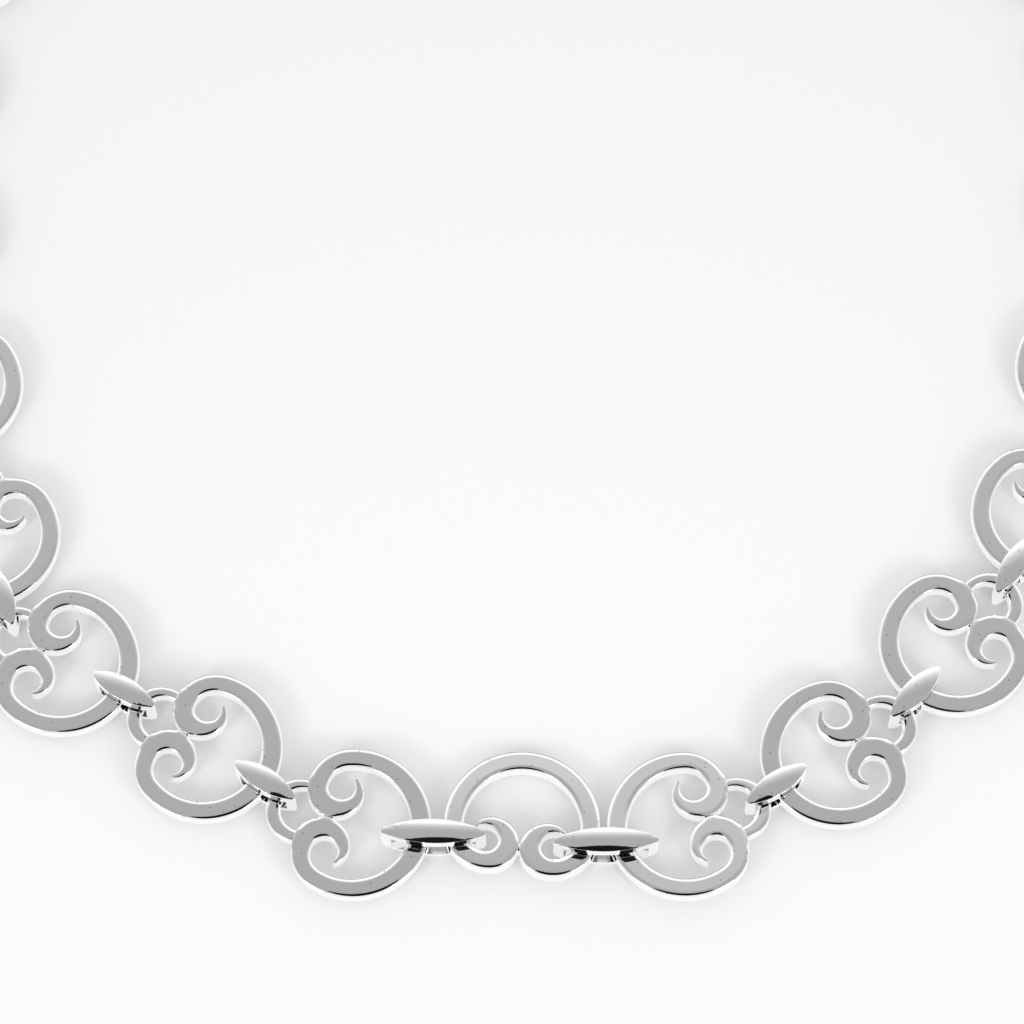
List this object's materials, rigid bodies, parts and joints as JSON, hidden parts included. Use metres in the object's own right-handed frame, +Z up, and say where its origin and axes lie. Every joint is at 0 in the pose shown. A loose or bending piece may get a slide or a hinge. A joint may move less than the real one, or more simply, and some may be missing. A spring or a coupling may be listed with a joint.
{
  "type": "heart link collar necklace",
  "caption": "Collar necklace of openwork heart links joined by domed marquise bars, lying flat as a closed loop.",
  "frame": {"origin": "under the middle of the loop, on the surface that it lies on", "axes": "+X to the wearer's side that is on the right in the picture, +Y towards the clasp, +Z up out of the hearts' faces"},
  "size_m": [0.172, 0.163, 0.0054],
  "materials": {
    "heart_silver": "polished silver, flat faces with rounded rims",
    "bar_silver": "polished silver, domed"
  },
  "bodies": {
    "root": {"centre_heart": "heart_silver", "heart_left_1": "heart_silver", "heart_left_2": "heart_silver", "heart_left_3": "heart_silver", "heart_left_4": "heart_silver", "heart_left_5": "heart_silver", "heart_left_6": "heart_silver", "heart_left_7": "heart_silver", "heart_left_8": "heart_silver", "heart_left_9": "heart_silver", "heart_left_10": "heart_silver", "heart_left_11": "heart_silver", "heart_right_1": "heart_silver", "heart_right_2": "heart_silver", "heart_right_3": "heart_silver", "heart_right_4": "heart_silver", "heart_right_5": "heart_silver", "heart_right_6": "heart_silver", "heart_right_7": "heart_silver", "heart_right_8": "heart_silver", "heart_right_9": "heart_silver", "heart_right_10": "heart_silver", "heart_right_11": "heart_silver", "bar_left_0": "bar_silver", "bar_left_1": "bar_silver", "bar_left_2": "bar_silver", "bar_left_3": "bar_silver", "bar_left_4": "bar_silver", "bar_left_5": "bar_silver", "bar_left_6": "bar_silver", "bar_left_7": "bar_silver", "bar_left_8": "bar_silver", "bar_left_9": "bar_silver", "bar_left_10": "bar_silver", "bar_right_0": "bar_silver", "bar_right_1": "bar_silver", "bar_right_2": "bar_silver", "bar_right_3": "bar_silver", "bar_right_4": "bar_silver", "bar_right_5": "bar_silver", "bar_right_6": "bar_silver", "bar_right_7": "bar_silver", "bar_right_8": "bar_silver", "bar_right_9": "bar_silver", "bar_right_10": "bar_silver", "clasp": "heart_silver"}
  },
  "joints": []
}
